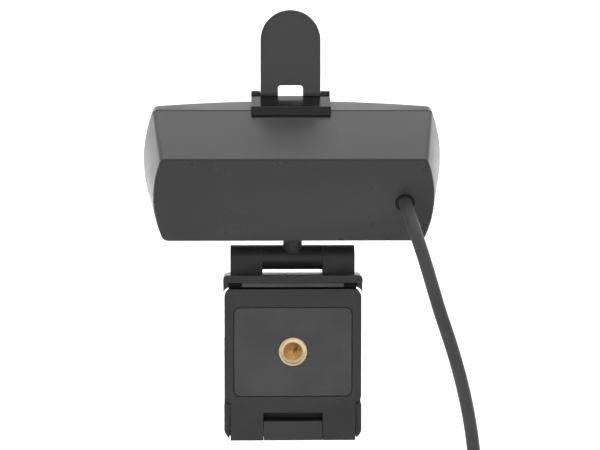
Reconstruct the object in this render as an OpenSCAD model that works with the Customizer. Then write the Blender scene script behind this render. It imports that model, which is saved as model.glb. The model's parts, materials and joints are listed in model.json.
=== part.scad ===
// Webcam on a folding clip, with a flip-up privacy flap and a USB cable.
// The origin is the mouth of the tripod thread. +Z is up, the lens looks
// towards +Y, and the tripod thread faces -Y. The clip is folded shut.

/* [Camera housing] */
// Width of the housing at its seam
body_w = 81.4; // [78:0.2:86]
// Height of the housing at its seam
body_h = 31.6; // [30:0.2:34]
// Depth of the rear shell, from the back face to the seam
shell_d = 23; // [21:0.5:26]
// Draft of the rear shell's four walls, in degrees
draft = 9.4; // [7:0.2:11]
// Depth of the front cap at its two ends
cap_d = 3.4; // [3.2:0.1:3.6]
// How far the front bows forward in the middle
front_bow = 3.6; // [3.4:0.1:3.7]
// Wall thickness of the housing
wall = 1.6; // [1.4:0.1:1.8]
// Height of the lens above the middle of the housing
lens_up = 3; // [1:0.5:3]

/* [Pose] */
// Nose-up pitch of the camera, in degrees
camera_pitch = 24; // [10:1:30]

/* [Privacy flap] */
// Width of the flap, which is also the diameter of its round end
flap_w = 16.4; // [15:0.2:17]
// Reach of the flap from its hinge axis
flap_l = 23; // [22:0.2:24]
// Thickness of the flap
flap_t = 1.1; // [0.9:0.1:1.2]

/* [Clip] */
// Half width of the foot plate
foot_half = 18.6; // [18.4:0.1:18.7]
// Thickness of the foot plate
foot_t = 5; // [4.8:0.1:5]
// Top of the foot plate above the thread axis
foot_top = 17.1; // [16.8:0.1:17.2]
// Bottom of the clip below the thread axis
foot_drop = 24.3; // [23.5:0.1:25]
// Radius of the tilt barrel
barrel_r = 3.4; // [3.2:0.05:3.5]

/* [Cable] */
// Diameter of the USB cable
cable_d = 3.4; // [3:0.1:3.6]
// Width of the innermost loop at each end of the folded cable
hank_gap = 21; // [20:1:24]
// Length of the runs between the end loops of the folded cable
hank_run = 56; // [52:1:66]

/* [Hidden] */
$fn = 64;
// Overlap that makes a cut pass cleanly through a face
cut = 0.1;
// Thickness of the slices that the housing is lofted through
slice = 0.02;

// Camera frame: its origin is on the tilt axis, +Y is forward, +Z is up
tilt_y = 7.8;
tilt_z = 25.2;
body_mid = 23.3;
back_y = -12;
seam_y = back_y + shell_d;
rim_y = seam_y + cap_d;
front_y = rim_y + front_bow;
lens_z = body_mid + lens_up;
lens_seat = front_y - 2.4;
seam_bulge = 3.1;
seam_corner_r = 1.4;
least_corner_r = 0.5;
bow_half = 37.5;

// Front panel
panel_half_w = 36.6;
panel_half_h = 12.6;
panel_t = 1.2;
panel_back = rim_y - panel_t;
panel_corner_r = 4;
cap_wall = 1.2;
mic_x = 22;
led_x = 13;
port_r = 0.5;
pipe_r = 0.8;

// Main board
board_back = 5.5;
board_t = 1.2;
board_front = board_back + board_t;
board_half_w = 31;
board_half_h = 11;
board_post_x = 27;
board_post_z = 7.5;
shell_post_x = 33.8;
shell_post_z = body_mid - 6;
board_screw_r = 0.75;
shell_screw_r = 0.95;

// Cable exit in the back face
gland_x = 29.2;
gland_z = body_mid - 0.6;
grommet_r = 2.3;
grommet_flange_r = 3.2;
grommet_flange_t = 1;
cable_r = cable_d / 2;

// Swivel in the underside of the housing
stem_r = 2.6;
shank_r = 2.2;
boss_r = 5;
boss_bottom = 8.3;
boss_top = 11.9;
running = 0.05;
washer_r = 4.2;
washer_t = 0.7;
swivel_screw_r = 1;

// Tilt hinge
knuckle_half = 8.1;
ear_inner = 8.3;
ear_outer = 17;
tilt_pin_r = 1.25;

// Arm and its lip, which hooks over the edge of a screen
arm_y = 5.5;
arm_t = 4;
arm_half = 18.75;
arm_waist = 16.6;
arm_shoulder = 6;
arm_corner = 3;
lip_top = 20.9;
lip_t = 2;
lip_tip = -0.8;
lip_half = 18.9;
lip_corner = 1.1;
lip_pad_half = 13.8;
lip_pad_t = 1.2;
cheek_t = 1.45;
cheek_gap = 0.65;
cheek_y = 1;
heel_cheek_in = 17.3;
heel_cheek_y = 1.5;
heel_cheek_top = -14.6;

// Foot plate and its hinge
foot_corner = 2.3;
heel_half = 17;
heel_z = -14.2;
pad_half = 16.1;
pad_top = 12.1;
pad_bottom = -12.2;
pad_corner = 1.8;
pad_depth = 1;
pad_seam = 0.12;
foot_axis_y = 2.7;
foot_axis_z = 2.3 - foot_drop;
foot_ear_r = foot_t - foot_axis_y;
fork_half = 8.05;
fork_top = -16.7;
foot_knuckle_half = 7.85;
foot_knuckle_top = -18.95;
foot_pin_r = 1;

// Quarter-inch tripod thread, as its minor bore
thread_r = 2.6;
thread_depth = 4;
nut_r = 3.5;
nut_flange_r = 3.95;
nut_flange_t = 0.9;
nut_len = 4.7;
nut_cone = 0.5;

// Flap hinge, in the camera frame
flap_x = -0.5;
flap_axis_y = front_y + 0.35;
flap_axis_z = body_mid + body_h / 2 + 1.5;
flap_barrel_r = 1.1;
flap_set = 0.35;
flap_foot = 0.15;
flap_hole_half = 3.4;
flap_hole_top = 2.5;
flap_hole_r = 0.8;
trunnion_r = 0.6;
trunnion_bore_r = 0.66;
mount_half = 10.75;
mount_top = 1.8;
mount_rear = 1.5;
mount_foot = 3.2;
tape_t = 0.4;
mount_gap = 0.2;

// Folded cable: four layers side by side along X, two strands deep, drawn
// together at the tie. Its first and last strands hang on the near side
lead_x = 46.4;
lead_y = -27;
layers = 4;
hank_top = -28;
hank_outer = hank_gap / 2 + 1.5 * cable_d;
hank_waist = 2 * cable_d;
hank_thick = layers * cable_d;
hank_x = lead_x - (layers - 1) / 2 * cable_d;
hank_y = lead_y + hank_gap / 2 + cable_d;
hank_mid = hank_top - hank_run / 2 - hank_outer;
hank_bottom = hank_top - hank_run - 2 * hank_outer;
tie_half = 4;
tie_t = 1.2;
tie_gap = 0.1;
tail_x = lead_x - (layers - 1) * cable_d;
tail_top = hank_bottom + 8;
tail_l = 7;
plug_top = hank_bottom - tail_l;
plug_relief_l = 9;
plug_relief_r = 2.4;
plug_grip_l = 22;
plug_grip_w = 15.4;
plug_grip_t = 7.6;
plug_grip_r = 2;
plug_shell_l = 18.7;
plug_shell_out = 12;
plug_shell_w = 12;
plug_shell_t = 4.5;
plug_sheet = 0.3;
tongue_w = 11;
tongue_t = 1.9;
plug_grip_bottom = plug_top - plug_relief_l - plug_grip_l;
plug_end = plug_grip_bottom - plug_shell_out;

// Middle of the cable's exit in the back face, in the part's frame
exit_point = [
    gland_x,
    tilt_y + back_y * cos(camera_pitch) - gland_z * sin(camera_pitch),
    tilt_z + back_y * sin(camera_pitch) + gland_z * cos(camera_pitch)
];
// Cable route from the exit down to the fold, in the part's frame
lead_route = concat([exit_point], [
    [29.4, -15.2, 39.8], [29.8, -18.6, 38.0], [30.5, -21.6, 35.4],
    [31.5, -24.0, 32.1], [32.7, -25.7, 28.2], [33.9, -26.7, 24.0],
    [35.2, -27.2, 19.5], [36.5, -27.4, 15.0], [38.2, -27.4, 10.0],
    [39.9, -27.3, 5.0], [41.4, -27.2, 0.0], [43.0, -27.1, -6.0],
    [44.3, -27.0, -12.0], [45.3, -27.0, -18.0], [46.0, -27.0, -24.0],
    [46.3, -27.0, -30.0], [lead_x, lead_y, -37.0]
]);
tail_route = [
    [tail_x, lead_y, tail_top], [tail_x, lead_y, hank_bottom],
    [tail_x, lead_y, plug_top]
];

// ---------- helpers ----------

// Camera frame to the part's frame
module in_camera() {
    translate([0, tilt_y, tilt_z]) rotate([camera_pitch, 0, 0]) children();
}

// Upright frame on the flap's hinge axis
module at_flap() {
    in_camera() translate([flap_x, flap_axis_y, flap_axis_z])
        rotate([-camera_pitch, 0, 0]) children();
}

// Round bar along +Y that starts at y
module bar_y(r, y, len) {
    translate([0, y, 0]) rotate([-90, 0, 0]) cylinder(r = r, h = len);
}

// Round bar along X, centred on x = 0
module bar_x(r, len) {
    rotate([0, 90, 0]) cylinder(r = r, h = len, center = true);
}

// Flat outline in X and Z, made solid from y to y + len
module slab_y(y, len) {
    translate([0, y + len, 0]) rotate([90, 0, 0]) linear_extrude(len) children();
}

// Outline in Y and Z, made solid over X, centred on x = 0
module slab_x(len) {
    rotate([90, 0, 90]) linear_extrude(len, center = true) children();
}

module round_rect(half_w, half_h, r) {
    square([2 * (half_w - r), 2 * half_h], center = true);
    square([2 * half_w, 2 * (half_h - r)], center = true);
    for (sx = [-1, 1], sy = [-1, 1])
        translate([sx * (half_w - r), sy * (half_h - r)]) circle(r);
}

// Half width of the housing's outline at height z: its ends bow outwards
function end_x(half_w, half_h, z) =
    half_w - seam_bulge * z * z / (half_h * body_h / 2);

// Housing outline with bowed ends and rounded corners
module housing_outline(half_w, half_h, r) {
    inner_h = half_h - r;
    steps = 12;
    side = [for (i = [0:steps]) let (z = inner_h * (2 * i / steps - 1))
        [end_x(half_w, half_h, z), z]];
    polygon(concat(side, [for (i = [steps:-1:0]) [-side[i][0], side[i][1]]]));
    for (sx = [-1, 1], sz = [-1, 1])
        translate([sx * (end_x(half_w, half_h, inner_h) - r), sz * inner_h])
            circle(r, $fn = 32);
}

// One slice of the rear shell at y, drawn in by inset on every side
module housing_slice(y, inset) {
    narrowing = max(0, seam_y - y) * tan(draft) + inset;
    slab_y(y, slice) translate([0, body_mid])
        housing_outline(body_w / 2 - narrowing, body_h / 2 - narrowing,
            max(least_corner_r, seam_corner_r - narrowing / 5));
}

// Front of the housing at x: it bows forward in the middle
function bow_y(x) = front_y - front_bow * pow(x / bow_half, 2);

// Everything behind the bowed front, moved back by drop
module behind_front(drop) {
    steps = 24;
    half_w = body_w / 2 + 1;
    front = [for (i = [0:steps]) let (x = half_w * (1 - 2 * i / steps)) [x, bow_y(x) - drop]];
    translate([0, 0, body_mid - body_h])
        linear_extrude(2 * body_h)
            polygon(concat(front, [[-half_w, back_y], [half_w, back_y]]));
}

// The cap's outline, drawn in by inset, from y up to the bowed front moved back by drop
module cap_block(y, inset, drop) {
    intersection() {
        slab_y(y, 8) translate([0, body_mid])
            housing_outline(body_w / 2 - inset, body_h / 2 - inset,
                max(least_corner_r, seam_corner_r - inset / 5));
        behind_front(drop);
    }
}

// Opening of the front cap that the panel lies in, drawn in by gap
module panel_prism(gap) {
    slab_y(seam_y + 1, 8) translate([0, body_mid])
        round_rect(panel_half_w - gap, panel_half_h - gap, panel_corner_r);
}

// Ring of points around p, square to direction d
function ring_points(p, d, r, sides) =
    let (t = d / norm(d), u = cross([1, 0, 0], t) / norm(cross([1, 0, 0], t)),
        v = cross(t, u))
    [for (i = [0:sides - 1]) let (a = 360 * (i + 0.5) / sides)
        p + r * (cos(a) * u + sin(a) * v)];

function direction(route, i) =
    i == 0 ? route[1] - route[0]
    : i == len(route) - 1 ? route[i] - route[i - 1]
    : route[i + 1] - route[i - 1];

// Tube swept along a route, with flat ends
module tube(route, r, first, last) {
    sides = 8;
    rings = len(route);
    points = [for (i = [0:rings - 1])
        each ring_points(route[i],
            i == 0 ? first : i == rings - 1 ? last : direction(route, i),
            r, sides)];
    walls = [for (i = [0:rings - 2], j = [0:sides - 1])
        let (k = (j + 1) % sides)
        [i * sides + j, i * sides + k, (i + 1) * sides + k, (i + 1) * sides + j]];
    start = [[for (j = [sides - 1:-1:0]) j]];
    end = [[for (j = [0:sides - 1]) (rings - 1) * sides + j]];
    polyhedron(points, concat(walls, start, end));
}

// ---------- camera housing ----------

module rear_shell() {
    color("#4a4b4e") in_camera() difference() {
        union() {
            difference() {
                hull() {
                    housing_slice(back_y, 0);
                    housing_slice(seam_y - slice, 0);
                }
                hull() {
                    housing_slice(back_y + wall, wall);
                    housing_slice(seam_y + cut, wall);
                }
            }
            translate([0, 0, boss_bottom]) cylinder(r = boss_r, h = boss_top - boss_bottom);
            shell_posts();
            board_posts();
        }
        translate([0, 0, boss_bottom - cut])
            cylinder(r = shank_r + running, h = boss_top - boss_bottom + 2 * cut);
        translate([gland_x, 0, gland_z]) bar_y(grommet_r, back_y - cut, wall + 2 * cut);
        for (sx = [-1, 1]) translate([sx * shell_post_x, 0, shell_post_z])
            bar_y(shell_screw_r, seam_y - 6, 7);
        for (sx = [-1, 1], sz = [-1, 1])
            translate([sx * board_post_x, 0, body_mid + sz * board_post_z])
                bar_y(board_screw_r, board_back - 5, 6);
    }
}

module shell_posts() {
    for (sx = [-1, 1]) translate([sx * shell_post_x, 0, shell_post_z])
        bar_y(2.2, back_y + wall / 2, shell_d - wall / 2 - running);
}

module board_posts() {
    for (sx = [-1, 1], sz = [-1, 1])
        translate([sx * board_post_x, 0, body_mid + sz * board_post_z])
            bar_y(1.9, back_y + wall / 2, board_back - back_y - wall / 2);
}

module front_cap() {
    boss_back = seam_y + running;
    head_seat = panel_back - 1.1;
    color("#56575a") in_camera() difference() {
        union() {
            difference() {
                cap_block(seam_y + running, 0, 0);
                cap_block(seam_y - cut, wall, panel_t + cap_wall);
                difference() {
                    panel_prism(-running);
                    behind_front(panel_t);
                }
            }
            for (sx = [-1, 1]) translate([sx * shell_post_x, 0, shell_post_z])
                bar_y(3, boss_back, panel_back - boss_back);
        }
        translate([0, 0, lens_z]) bar_y(7.05, seam_y, 8);
        translate([led_x, 0, lens_z]) bar_y(pipe_r + running, seam_y, 8);
        for (sx = [-1, 1]) {
            translate([sx * mic_x, 0, lens_z]) bar_y(port_r, seam_y, 8);
            translate([sx * shell_post_x, 0, shell_post_z]) {
                bar_y(shell_screw_r + running, seam_y - 1, 6);
                bar_y(2.05, head_seat, 6);
            }
        }
    }
}

module front_panel() {
    color("#141416") in_camera() difference() {
        intersection() {
            panel_prism(running);
            behind_front(0.1);
        }
        behind_front(panel_t - running);
        translate([0, 0, lens_z]) bar_y(7.1, seam_y, 8);
        translate([led_x, 0, lens_z]) bar_y(pipe_r + running, seam_y, 8);
        for (sx = [-1, 1]) translate([sx * mic_x, 0, lens_z]) bar_y(port_r, seam_y, 8);
    }
}

// ---------- lens, board and what stands on it ----------

module at_lens() {
    in_camera() translate([0, 0, lens_z]) rotate([-90, 0, 0]) children();
}

module lens_ring() {
    ring_front = front_y + 0.3;
    color("#2b2c2f") at_lens() rotate_extrude() polygon([
        [4.7, seam_y + 1.6], [7, seam_y + 1.6], [7, ring_front - 0.4],
        [6.6, ring_front], [5.9, ring_front], [4.7, ring_front - 1.2]
    ]);
}

module lens_barrel() {
    barrel_back = board_front + 1.3;
    barrel_front = front_y - 0.6;
    color("#1b1b1d") at_lens() rotate_extrude() polygon([
        [2.6, barrel_back], [4.5, barrel_back], [4.5, barrel_front - 0.3],
        [4.2, barrel_front], [3.65, barrel_front], [3.65, lens_seat], [2.6, lens_seat]
    ]);
}

module front_lens() {
    edge = 0.5;
    dome = 0.9;
    color("#27304a") at_lens() rotate_extrude() polygon(concat(
        [[0, lens_seat], [3.6, lens_seat], [3.6, lens_seat + edge]],
        [for (i = [1:8]) let (r = 3.6 * (1 - i / 8))
            [r, lens_seat + edge + dome * (1 - pow(r / 3.6, 2))]]
    ));
}

module rear_lens() {
    color("#2c3550") at_lens() translate([0, 0, board_front + 2.4]) cylinder(r = 2.55, h = 1.3);
}

module ir_filter() {
    color("#7a3f4a") at_lens() translate([0, 0, board_front + 1.4]) cylinder(r = 2.55, h = 0.4);
}

module lens_holder() {
    holder_front = board_front + 5;
    color("#202022") in_camera() translate([0, 0, lens_z]) difference() {
        slab_y(board_front, holder_front - board_front) round_rect(6.5, 6.5, 1);
        bar_y(4.55, board_front - cut, 6);
        slab_y(board_front - cut, 1.3) square(10, center = true);
    }
}

module image_sensor() {
    color("#3a4a3a") in_camera() translate([0, 0, lens_z])
        slab_y(board_front, 0.9) square(7, center = true);
}

module main_board() {
    color("#1f5a3a") in_camera() translate([0, 0, body_mid]) difference() {
        slab_y(board_back, board_t) round_rect(board_half_w, board_half_h, 1.5);
        for (sx = [-1, 1], sz = [-1, 1])
            translate([sx * board_post_x, 0, sz * board_post_z])
                bar_y(board_screw_r + running, board_back - 1, 4);
    }
}

module camera_processor() {
    color("#111112") in_camera() translate([-12, 0, body_mid])
        slab_y(board_back - 0.9, 0.9) square(9, center = true);
}

module microphones() {
    color("#c8b070") in_camera() for (sx = [-1, 1])
        translate([sx * mic_x, 0, lens_z])
            slab_y(board_front, 1.1) square([3.8, 3], center = true);
}

module status_led() {
    color("#f4f4e8") in_camera() translate([led_x, 0, lens_z])
        slab_y(board_front, 0.6) square([1.6, 1], center = true);
}

module led_pipe() {
    pipe_back = board_front + 0.7;
    color("#dfe6ea") in_camera() translate([led_x, 0, lens_z]) {
        bar_y(pipe_r, pipe_back, bow_y(led_x) - 0.1 - pipe_back);
        bar_y(1.3, seam_y, 0.8);
    }
}

// Pan-head screw along -Y with the underside of its head at y
module screw_y(shank, head, head_t, y, len) {
    bar_y(head, y, head_t);
    bar_y(shank, y - len, len);
}

module board_screws() {
    color("silver") in_camera() for (sx = [-1, 1], sz = [-1, 1])
        translate([sx * board_post_x, 0, body_mid + sz * board_post_z])
            screw_y(board_screw_r - 0.02, 1.6, 1, board_front, 5.4);
}

module shell_screws() {
    color("silver") in_camera() for (sx = [-1, 1])
        translate([sx * shell_post_x, 0, shell_post_z])
            screw_y(shell_screw_r - 0.02, 1.95, 1, panel_back - 1.1, 6);
}

module usb_header() {
    color("ivory") in_camera() translate([28.4, 0, body_mid - 0.6])
        slab_y(board_back - 3, 3) square([5, 5.8], center = true);
}

module lead_plug() {
    color("white") in_camera() translate([28.6, 0, gland_z])
        slab_y(-3, board_back) square([5.2, 5.2], center = true);
}

module inner_lead() {
    color("#222224") in_camera() translate([gland_x, 0, gland_z])
        bar_y(cable_r, back_y, -3 - back_y);
}

module cable_grommet() {
    inner_face = back_y + wall;
    color("#161617") in_camera() translate([gland_x, 0, gland_z]) difference() {
        union() {
            bar_y(grommet_r - 0.02, back_y, wall);
            bar_y(grommet_flange_r, inner_face, grommet_flange_t);
        }
        bar_y(cable_r + 0.02, back_y - cut, wall + grommet_flange_t + 2 * cut);
    }
}

// ---------- privacy flap ----------

// Outline of the flap mount in Y and Z, about the top of the seam
module mount_profile(front) {
    polygon([
        [-mount_foot, tape_t - mount_foot * tan(draft)], [-mount_rear, mount_top],
        [front, mount_top], [front, tape_t], [0, tape_t]
    ]);
}

module flap_mount() {
    ear_len = mount_half - flap_w / 2 - mount_gap;
    axis = [flap_axis_y - seam_y, flap_axis_z - body_mid - body_h / 2];
    throat = axis[0] - flap_barrel_r - 0.25;
    color("#2a2a2c") in_camera()
        translate([flap_x, seam_y, body_mid + body_h / 2]) difference() {
            union() {
                slab_x(2 * mount_half) mount_profile(throat);
                for (sx = [-1, 1]) translate([sx * (mount_half - ear_len / 2), 0, 0])
                    slab_x(ear_len) {
                        translate(axis) circle(flap_barrel_r);
                        translate([throat - 1, tape_t + 0.4])
                            square([axis[0] - throat + 1, axis[1] - tape_t - 0.1]);
                    }
            }
            translate([0, axis[0], axis[1]]) bar_x(trunnion_bore_r, 2 * mount_half - 1);
        }
}

module flap_mount_tape() {
    front = 5.5;
    rear = mount_foot - 0.2;
    drop = rear * tan(draft);
    lift = 0.03;
    color("#1c1c1c") in_camera() translate([flap_x, seam_y, body_mid + body_h / 2])
        slab_x(2 * mount_half - 0.6) polygon([
            [-rear, lift - drop], [-rear, tape_t - drop], [0, tape_t],
            [front, tape_t], [front, lift], [0, lift]
        ]);
}

module flap_outline() {
    round_z = flap_l - flap_w / 2;
    difference() {
        union() {
            translate([-flap_w / 2, flap_foot]) square([flap_w, round_z - flap_foot]);
            translate([0, round_z]) circle(flap_w / 2, $fn = 96);
        }
        translate([-flap_hole_half, -1])
            square([2 * flap_hole_half, flap_hole_top + 1 - flap_hole_r]);
        translate([-flap_hole_half + flap_hole_r, 0])
            square([2 * (flap_hole_half - flap_hole_r), flap_hole_top]);
        for (sx = [-1, 1])
            translate([sx * (flap_hole_half - flap_hole_r), flap_hole_top - flap_hole_r])
                circle(flap_hole_r);
    }
}

module privacy_flap() {
    leg = flap_w / 2 - flap_hole_half;
    color("#3f4043") at_flap() {
        slab_y(-flap_set - flap_t, flap_t) flap_outline();
        for (sx = [-1, 1]) {
            translate([sx * (flap_hole_half + leg / 2), 0, 0]) bar_x(flap_barrel_r, leg);
            translate([sx * (flap_w / 2 + 0.9), 0, 0]) bar_x(trunnion_r, 2);
        }
    }
}

// ---------- swivel stem ----------

module swivel_stem() {
    color("#2a2a2c") in_camera() difference() {
        union() {
            bar_x(barrel_r, 2 * knuckle_half);
            cylinder(r = stem_r, h = boss_bottom - running);
            translate([0, 0, barrel_r - 0.6]) cylinder(r1 = stem_r + 0.6, r2 = stem_r, h = 1);
            cylinder(r = shank_r, h = boss_top + running);
        }
        bar_x(tilt_pin_r + running, 2 * knuckle_half + 1);
        translate([0, 0, boss_top - 6]) cylinder(r = swivel_screw_r, h = 7);
    }
}

module swivel_washer() {
    color("silver") in_camera() translate([0, 0, boss_top + running]) difference() {
        cylinder(r = washer_r, h = washer_t);
        translate([0, 0, -cut]) cylinder(r = swivel_screw_r + running, h = washer_t + 1);
    }
}

module swivel_screw() {
    head_z = boss_top + running + washer_t;
    color("silver") in_camera() {
        translate([0, 0, head_z]) cylinder(r = 2, h = 1.2);
        translate([0, 0, head_z - 6]) cylinder(r = swivel_screw_r - 0.02, h = 6.1);
    }
}

// ---------- clip arm ----------

module clip_arm() {
    arm_back = arm_y + arm_t;
    color("#2f3032") difference() {
        union() {
            arm_sheet();
            lip();
            heel_cheeks();
            for (sx = [-1, 1]) arm_cheek(sx);
            for (sx = [-1, 1]) translate([sx * (ear_inner + ear_outer) / 2, tilt_y, 0])
                arm_ear(ear_outer - ear_inner);
            translate([-foot_knuckle_half, running, -foot_drop])
                cube([2 * foot_knuckle_half, arm_back - running - 1,
                    foot_drop + foot_knuckle_top]);
        }
        translate([0, tilt_y, tilt_z]) bar_x(tilt_pin_r, 2 * ear_outer + 1);
        translate([0, foot_axis_y, foot_axis_z])
            bar_x(foot_pin_r + running, 2 * foot_knuckle_half + 1);
    }
}

// Outline of the arm up to its shoulder
module arm_low_outline() {
    low = (arm_shoulder + foot_drop) / 2;
    translate([0, arm_shoulder - low]) round_rect(arm_half, low, arm_corner);
}

module arm_sheet() {
    neck_low = arm_shoulder - arm_corner - 2;
    neck_high = lip_top - lip_t / 2;
    head_low = foot_top - 1.1;
    head_half = lip_half - cheek_t + cut;
    slab_y(arm_y, arm_t) {
        arm_low_outline();
        translate([-arm_waist, neck_low]) square([2 * arm_waist, neck_high - neck_low]);
        translate([-head_half, head_low]) square([2 * head_half, neck_high - head_low]);
    }
}

// Two cheeks that reach forward on either side of the foot plate's heel
module heel_cheeks() {
    slab_y(heel_cheek_y, arm_y + 1 - heel_cheek_y) intersection() {
        arm_low_outline();
        for (sx = [-1, 1])
            translate([sx * (heel_cheek_in + arm_half) / 2, (heel_cheek_top - foot_drop) / 2])
                square([arm_half - heel_cheek_in, heel_cheek_top + foot_drop], center = true);
    }
}

module lip() {
    lip_bottom = lip_top - lip_t;
    slab_y(lip_tip, arm_y + arm_t - lip_tip) {
        translate([-lip_half, lip_bottom]) square([2 * lip_half, lip_t - lip_corner]);
        translate([-lip_half + lip_corner, lip_bottom])
            square([2 * (lip_half - lip_corner), lip_t]);
        for (sx = [-1, 1])
            translate([sx * (lip_half - lip_corner), lip_top - lip_corner])
                circle(lip_corner);
    }
}

// Gusset under one end of the lip, cut round the foot plate's corner
module arm_cheek(sx) {
    cheek_low = foot_top - 2;
    slab_y(cheek_y, arm_y + arm_t - cheek_y) difference() {
        translate([sx * (lip_half - cheek_t / 2), (lip_top - lip_t + cheek_low) / 2])
            square([cheek_t, lip_top - lip_t - cheek_low + 0.1], center = true);
        translate([sx * (foot_half - foot_corner), foot_top - foot_corner])
            circle(foot_corner + cheek_gap);
    }
}

module arm_ear(len) {
    slab_x(len) {
        translate([0, tilt_z]) circle(barrel_r);
        translate([-barrel_r, lip_top - lip_t / 2])
            square([2 * barrel_r, tilt_z - lip_top + lip_t / 2]);
    }
}

module lip_pad() {
    color("#3a3b3d") translate([0, 0, lip_top - lip_t - lip_pad_t / 2])
        slab_y(lip_tip + 0.1, arm_y - lip_tip - 0.1)
            square([2 * lip_pad_half, lip_pad_t], center = true);
}

module tilt_pin() {
    color("silver") translate([0, tilt_y, tilt_z]) bar_x(tilt_pin_r, 2 * ear_outer - 0.6);
}

// ---------- foot ----------

module foot_plate() {
    pad_half_h = (pad_top - pad_bottom) / 2;
    color("#3c3d40") difference() {
        union() {
            slab_y(0, foot_t) translate([0, (foot_top + heel_z) / 2])
                round_rect(foot_half, (foot_top - heel_z) / 2, foot_corner);
            slab_y(0, foot_t) translate([-heel_half, foot_axis_z])
                square([2 * heel_half, heel_z - foot_axis_z + 4]);
            translate([0, foot_axis_y, foot_axis_z]) bar_x(foot_ear_r, 2 * heel_half);
            translate([-heel_half, 0, -foot_drop])
                cube([2 * heel_half, foot_axis_y, foot_drop + foot_axis_z]);
        }
        translate([-fork_half, -1, -foot_drop - 1])
            cube([2 * fork_half, foot_t + 2, foot_drop + fork_top + 1]);
        slab_y(-1, 1 + pad_depth) translate([0, pad_top - pad_half_h])
            round_rect(pad_half, pad_half_h, pad_corner);
        bar_y(nut_r, -1, foot_t + 2);
        translate([0, foot_axis_y, foot_axis_z]) bar_x(foot_pin_r, 2 * heel_half + 1);
    }
}

module foot_pad() {
    pad_half_h = (pad_top - pad_bottom) / 2;
    color("#4a4b4e") difference() {
        slab_y(0, pad_depth) translate([0, pad_top - pad_half_h])
            round_rect(pad_half - pad_seam, pad_half_h - pad_seam, pad_corner - pad_seam);
        bar_y(nut_flange_r + running, -1, 3);
    }
}

module tripod_nut() {
    color("#c8a04a") rotate([-90, 0, 0]) rotate_extrude() polygon([
        [0, thread_depth + nut_cone], [thread_r, thread_depth], [thread_r, 0],
        [nut_flange_r, 0], [nut_flange_r, nut_flange_t], [nut_r, nut_flange_t],
        [nut_r, nut_len], [0, nut_len]
    ]);
}

module foot_pin() {
    color("silver") translate([0, foot_axis_y, foot_axis_z]) bar_x(foot_pin_r, 2 * heel_half - 0.4);
}

// ---------- cable, folded below the clip, and its plug ----------

module cable_lead() {
    exit = [0, -cos(camera_pitch), -sin(camera_pitch)];
    color("#2c2c2e") tube(lead_route, cable_r, exit, [0, 0, -1]);
}

module cable_tail() {
    color("#2c2c2e") tube(tail_route, cable_r, [0, 0, -1], [0, 0, -1]);
}

// Half width of the folded cable at height z from its tie
function hank_half(z) =
    let (t = min(1, abs(z) / (hank_run / 2)))
    hank_waist + (hank_outer - hank_waist) * t * t * (3 - 2 * t);

module hank_outline() {
    steps = 16;
    side = [for (i = [0:steps]) let (z = hank_run * (i / steps - 0.5))
        [hank_half(z), z]];
    polygon(concat(side, [for (i = [steps:-1:0]) [-side[i][0], side[i][1]]]));
    for (sz = [-1, 1]) translate([0, sz * hank_run / 2]) circle(hank_outer);
}

module cable_hank() {
    color("#2c2c2e") translate([hank_x, hank_y, hank_mid])
        slab_x(hank_thick) hank_outline();
}

module cable_tie() {
    inner_x = hank_thick / 2 + tie_gap;
    inner_y = hank_half(tie_half) + tie_gap;
    color("#1a1a1b") translate([hank_x, hank_y, hank_mid]) difference() {
        cube([2 * (inner_x + tie_t), 2 * (inner_y + tie_t), 2 * tie_half], center = true);
        cube([2 * inner_x, 2 * inner_y, 2 * tie_half + 1], center = true);
    }
}

// The plug hangs with its width along Y
module at_plug(z) {
    translate([tail_x, lead_y, z]) rotate([0, 0, 90]) children();
}

module usb_plug_body() {
    color("#262628") at_plug(plug_grip_bottom) difference() {
        union() {
            translate([0, 0, plug_grip_l])
                cylinder(r1 = plug_relief_r + 1, r2 = plug_relief_r, h = plug_relief_l);
            linear_extrude(plug_grip_l)
                round_rect(plug_grip_w / 2, plug_grip_t / 2, plug_grip_r);
        }
        cube([plug_shell_w, plug_shell_t, 2 * (plug_shell_l - plug_shell_out)], center = true);
    }
}

module usb_plug_shell() {
    bore = [plug_shell_w - 2 * plug_sheet, plug_shell_t - 2 * plug_sheet, plug_shell_l];
    color("silver") at_plug(plug_end + plug_shell_l / 2) difference() {
        cube([plug_shell_w, plug_shell_t, plug_shell_l], center = true);
        translate([0, 0, -0.8]) cube(bore, center = true);
    }
}

module usb_plug_tongue() {
    tongue_l = plug_shell_l - 1.8;
    gap = (plug_shell_t - tongue_t) / 2 - plug_sheet;
    color("white") at_plug(plug_end + 1 + tongue_l / 2) translate([0, gap, 0])
        cube([tongue_w, tongue_t, tongue_l], center = true);
}

rear_shell();
front_cap();
front_panel();
lens_ring();
lens_barrel();
front_lens();
rear_lens();
ir_filter();
lens_holder();
image_sensor();
main_board();
camera_processor();
microphones();
status_led();
led_pipe();
board_screws();
shell_screws();
usb_header();
lead_plug();
inner_lead();
cable_grommet();
flap_mount();
flap_mount_tape();
privacy_flap();
swivel_stem();
swivel_washer();
swivel_screw();
clip_arm();
lip_pad();
tilt_pin();
foot_plate();
foot_pad();
tripod_nut();
foot_pin();
cable_lead();
cable_hank();
cable_tie();
cable_tail();
usb_plug_body();
usb_plug_shell();
usb_plug_tongue();
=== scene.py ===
"""A webcam on a folding clip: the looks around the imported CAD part.

Shapes are written in millimetres and become metres when a piece is made.
"""
import json
import math

import bmesh
import bpy
from mathutils import Matrix, Vector

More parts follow.
